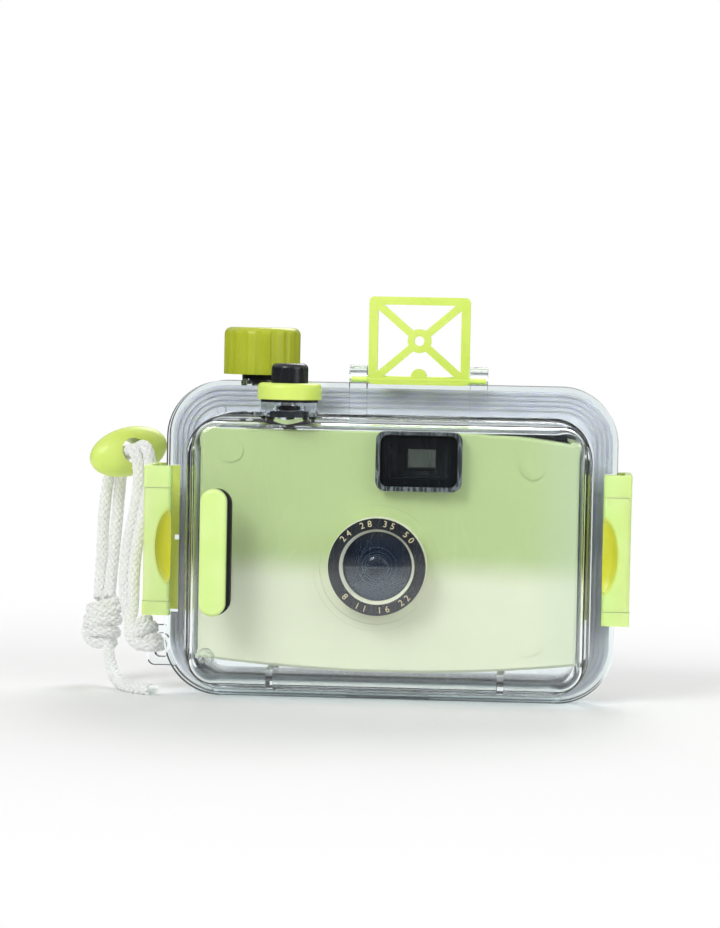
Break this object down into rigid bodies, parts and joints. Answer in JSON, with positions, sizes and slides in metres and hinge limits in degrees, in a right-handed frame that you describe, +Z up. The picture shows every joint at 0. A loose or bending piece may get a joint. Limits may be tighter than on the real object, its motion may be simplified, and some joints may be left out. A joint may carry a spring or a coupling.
{
  "type": "underwater_camera",
  "caption": "Clear two-shell dive housing with lime latches, knob and fold-up sight, holding a film camera; braided wrist strap with float",
  "frame": {"origin": "centre of the flange's lower edge, on the plane where the two shells meet, which is the surface it stands on", "axes": "+Z up, -Y the way the lens looks, +X to the right as the lens side is viewed"},
  "size_m": [0.1627, 0.0652, 0.1169],
  "materials": {
    "clear_shell": "clear polycarbonate, polished",
    "clear_trim": "clear acrylic, polished",
    "lime_plastic": "neon lime ABS, satin gloss",
    "lime_cover": "translucent lime cover, smooth",
    "lime_float": "lime foam-filled plastic, smooth",
    "black_plastic": "black moulded plastic, fine matte",
    "cream_plastic": "cream moulded plastic",
    "black_rubber": "black rubber",
    "milky_seal": "milky silicone rubber, ribbed",
    "steel": "plain stainless steel",
    "lens_glass": "coated optical plastic",
    "white_cord": "white braided polyester cord"
  },
  "bodies": {
    "front_case": {"front_shell": "clear_shell", "finger_grip": "lime_plastic", "grip_pad": "black_rubber", "shutter_collar": "lime_plastic", "collar_seal": "black_rubber", "stem_seal": "black_rubber", "shutter_spring": "steel", "gasket": "milky_seal", "camera_body": "black_plastic", "front_cover": "lime_cover", "film_door": "black_plastic", "door_hinge_pin": "steel", "pressure_plate": "black_plastic", "plate_spring": "steel", "lens_ring": "black_plastic", "lens_barrel": "cream_plastic", "front_lens": "lens_glass", "rear_lens": "lens_glass", "shutter_base": "black_plastic", "finder_bezel": "clear_trim", "finder_window": "clear_trim", "finder_mask": "black_plastic", "eyepiece": "clear_trim", "top_screws": "steel"},
    "rear_case": {"rear_shell": "clear_shell", "latch_base_left": "lime_plastic", "latch_base_right": "lime_plastic", "latch_rear_pins": "steel", "rear_pads": "black_rubber", "knob_washer": "black_rubber", "shaft_seal": "black_rubber", "strap_float": "lime_float", "strap_strand_left": "white_cord", "strap_strand_right": "white_cord", "strap_tail": "white_cord", "strap_hitch": "white_cord", "strap_end_knot": "white_cord"},
    "left_link": {"latch_link_left": "lime_plastic", "latch_pin_left": "steel"},
    "right_link": {"latch_link_right": "lime_plastic", "latch_pin_right": "steel"},
    "left_lever": {"latch_lever_left": "lime_plastic"},
    "right_lever": {"latch_lever_right": "lime_plastic"},
    "knob": {"wind_knob": "lime_plastic", "wind_shaft": "steel", "wind_pinion": "black_plastic", "shaft_clip": "steel"},
    "spool": {"take_up_spool": "black_plastic", "advance_wheel": "black_plastic"},
    "sprocket_roll": {"sprocket": "black_plastic"},
    "dial": {"counter_dial": "cream_plastic"},
    "button": {"shutter_cap": "black_rubber", "shutter_plunger": "steel", "plunger_foot": "black_plastic"},
    "release": {"release_button": "black_plastic"},
    "blade": {"shutter_blade": "steel"},
    "sight": {"sight_frame": "lime_plastic"},
    "rewind": {"rewind_knob": "black_plastic", "rewind_fork": "black_plastic"},
    "door_slide": {"door_latch": "black_plastic"}
  },
  "joints": [
    {"name": "rear_open", "type": "slide", "parent": "front_case", "child": "rear_case", "axis": [0, 1, 0], "range_m": [0, 0.01]},
    {"name": "knob_turn", "type": "hinge", "parent": "rear_case", "child": "knob", "pos_m": [-0.0394, 0.008, 0.1], "axis": [0, 0, 1], "continuous": true},
    {"name": "spool_turn", "type": "hinge", "parent": "front_case", "child": "spool", "pos_m": [-0.0394, -0.0024, 0.04], "axis": [0, 0, 1], "continuous": true},
    {"name": "sprocket_turn", "type": "hinge", "parent": "front_case", "child": "sprocket_roll", "pos_m": [-0.0295, 0.007, 0.04], "axis": [0, 0, 1], "continuous": true},
    {"name": "counter_turn", "type": "hinge", "parent": "front_case", "child": "dial", "pos_m": [-0.011, 0.002, 0.076], "axis": [0, 0, 1], "continuous": true},
    {"name": "button_press", "type": "slide", "parent": "front_case", "child": "button", "axis": [0, 0, -1], "range_m": [0, 0.0016], "stiffness_N_per_m": 350, "springref_m": -0.002, "deforming": ["shutter_spring"]},
    {"name": "release_press", "type": "slide", "parent": "front_case", "child": "release", "axis": [0, 0, -1], "range_m": [0, 0.0016]},
    {"name": "blade_swing", "type": "hinge", "parent": "front_case", "child": "blade", "pos_m": [0.0032, -0.0128, 0.0427], "axis": [0, 1, 0], "range_deg": [0, 34]},
    {"name": "sight_fold", "type": "hinge", "parent": "front_case", "child": "sight", "pos_m": [0.0076, -0.009, 0.093], "axis": [-1, 0, 0], "range_deg": [0, 90]},
    {"name": "rewind_turn", "type": "hinge", "parent": "front_case", "child": "rewind", "pos_m": [0.0382, 0.0012, 0.077], "axis": [0, 0, 1], "continuous": true},
    {"name": "door_unlatch", "type": "slide", "parent": "front_case", "child": "door_slide", "axis": [0, 0, 1], "range_m": [0, 0.003]},
    {"name": "left_link_swing", "type": "hinge", "parent": "rear_case", "child": "left_link", "pos_m": [-0.0693, 0.008, 0.04515], "axis": [0, 0, -1], "range_deg": [0, 70]},
    {"name": "left_lever_flip", "type": "hinge", "parent": "left_link", "child": "left_lever", "pos_m": [-0.0693, -0.0108, 0.044], "axis": [0, 0, -1], "range_deg": [0, 120]},
    {"name": "right_link_swing", "type": "hinge", "parent": "rear_case", "child": "right_link", "pos_m": [0.0675, 0.008, 0.04515], "axis": [0, 0, 1], "range_deg": [0, 70]},
    {"name": "right_lever_flip", "type": "hinge", "parent": "right_link", "child": "right_lever", "pos_m": [0.0675, -0.0108, 0.044], "axis": [0, 0, 1], "range_deg": [0, 120]}
  ],
  "couplings": [
    {"joint": "spool_turn", "follows": "knob_turn", "ratio": -0.85714},
    {"joint": "sprocket_turn", "follows": "knob_turn", "ratio": 1.3929},
    {"joint": "counter_turn", "follows": "knob_turn", "ratio": 0.038691},
    {"joint": "release_press", "follows": "button_press", "ratio": 1},
    {"joint": "blade_swing", "follows": "button_press", "rad_per_m": 370.85},
    {"joint": "left_link_swing", "follows": "rear_open", "rad_per_m": 122.16},
    {"joint": "left_lever_flip", "follows": "rear_open", "rad_per_m": 209.42},
    {"joint": "right_link_swing", "follows": "rear_open", "rad_per_m": 122.16},
    {"joint": "right_lever_flip", "follows": "rear_open", "rad_per_m": 209.42}
  ]
}
